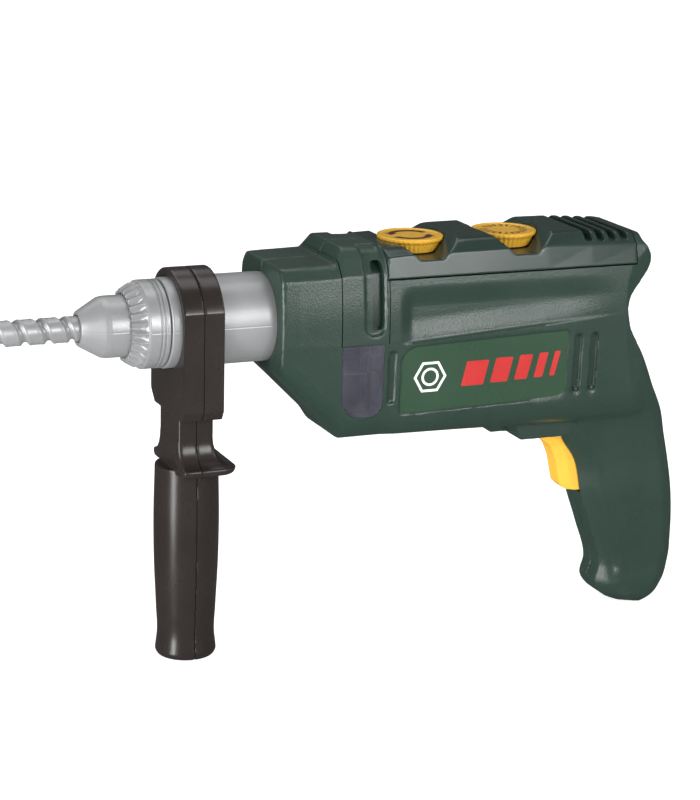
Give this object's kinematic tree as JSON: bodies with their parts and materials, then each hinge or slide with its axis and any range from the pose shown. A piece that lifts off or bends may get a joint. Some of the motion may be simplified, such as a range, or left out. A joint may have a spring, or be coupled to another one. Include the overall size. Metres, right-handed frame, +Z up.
{
  "type": "toy power drill",
  "caption": "Toy power drill with a fluted bit in a silver chuck, a turning side handle, two yellow dials on top, a sprung trigger and a battery bay in the grip.",
  "frame": {"origin": "on the plane the side handle's foot and the grip's foot stand on, below the middle of the drill's length and width", "axes": "+Z up, +X from the drill bit towards the grip, +Y to the side away from the label"},
  "size_m": [0.341, 0.057, 0.1874],
  "materials": {
    "green_plastic": "fine-grained dark green moulded plastic, semi-gloss",
    "dark_green_plastic": "smooth glossy dark green moulded plastic",
    "yellow_plastic": "glossy warm yellow moulded plastic",
    "black_plastic": "satin brown-black moulded plastic",
    "silver_plastic": "plastic painted satin silver",
    "smoky_clear": "smoky violet-grey clear plastic",
    "grey_plastic": "plain grey moulded plastic",
    "white_plastic": "off-white moulded plastic",
    "steel": "plated steel",
    "brass": "plain brass",
    "cell_jacket": "shrink sleeve round a dry cell",
    "board_green": "solder-masked circuit board"
  },
  "bodies": {
    "housing": {"housing_left": "green_plastic", "housing_right": "green_plastic", "light_window_left": "smoky_clear", "light_window_right": "smoky_clear", "lamp_frame": "grey_plastic", "lamp_left": "white_plastic", "lamp_right": "white_plastic", "top_cover": "dark_green_plastic", "barrel_tube": "silver_plastic", "front_bush": "brass", "rear_bush": "brass", "gearbox_front_plate": "grey_plastic", "gearbox_rear_plate": "grey_plastic", "reduction_shaft": "steel", "motor": "steel", "trigger_spring": "steel", "trigger_switch": "black_plastic", "battery_cell_1": "cell_jacket", "battery_cell_2": "cell_jacket", "contact_top": "brass", "contact_bottom": "brass", "circuit_board": "board_green", "speaker": "steel", "case_screw_1": "steel", "case_screw_2": "steel", "case_screw_3": "steel", "case_screw_4": "steel", "case_screw_5": "steel", "case_screw_6": "steel"},
    "spindle": {"spindle": "steel", "chuck_sleeve": "silver_plastic", "chuck_ring": "silver_plastic", "drill_bit": "silver_plastic", "spindle_gear": "white_plastic"},
    "reduction": {"reduction_gear": "white_plastic"},
    "motor_rotor": {"motor_pinion": "brass", "motor_shaft": "steel"},
    "side_handle": {"handle_front_half": "black_plastic", "handle_rear_half": "black_plastic", "handle_screw_1": "steel", "handle_screw_2": "steel", "handle_screw_3": "steel"},
    "direction_dial": {"direction_dial": "yellow_plastic", "direction_dial_screw": "steel"},
    "mode_dial": {"mode_dial": "yellow_plastic", "mode_dial_screw": "steel"},
    "trigger": {"trigger": "yellow_plastic"},
    "battery_cover": {"battery_cover": "green_plastic", "battery_cover_screw": "steel"}
  },
  "joints": [
    {"name": "spindle_spin", "type": "hinge", "parent": "housing", "child": "spindle", "pos_m": [0, 0, 0.153], "axis": [1, 0, 0], "continuous": true},
    {"name": "reduction_spin", "type": "hinge", "parent": "housing", "child": "reduction", "pos_m": [0, 0, 0.1338], "axis": [1, 0, 0], "continuous": true},
    {"name": "motor_spin", "type": "hinge", "parent": "housing", "child": "motor_rotor", "pos_m": [0, 0, 0.1498], "axis": [1, 0, 0], "continuous": true},
    {"name": "side_handle_turn", "type": "hinge", "parent": "housing", "child": "side_handle", "pos_m": [-0.0735, 0, 0.153], "axis": [1, 0, 0], "continuous": true},
    {"name": "direction_dial_turn", "type": "hinge", "parent": "housing", "child": "direction_dial", "pos_m": [0.0315, 0, 0.183], "axis": [0, 0, 1], "range_deg": [-45, 45]},
    {"name": "mode_dial_turn", "type": "hinge", "parent": "housing", "child": "mode_dial", "pos_m": [0.0781, 0, 0.183], "axis": [0, 0, 1], "continuous": true},
    {"name": "trigger_pull", "type": "slide", "parent": "housing", "child": "trigger", "axis": [1, 0, 0], "range_m": [0, 0.0045], "stiffness_N_per_m": 350, "springref_m": -0.004, "deforming": ["trigger_spring"]},
    {"name": "battery_cover_off", "type": "slide", "parent": "housing", "child": "battery_cover", "axis": [0, 1, 0], "range_m": [0, 0.03]}
  ],
  "couplings": [
    {"joint": "reduction_spin", "follows": "spindle_spin", "ratio": -3},
    {"joint": "motor_spin", "follows": "spindle_spin", "ratio": 9}
  ]
}
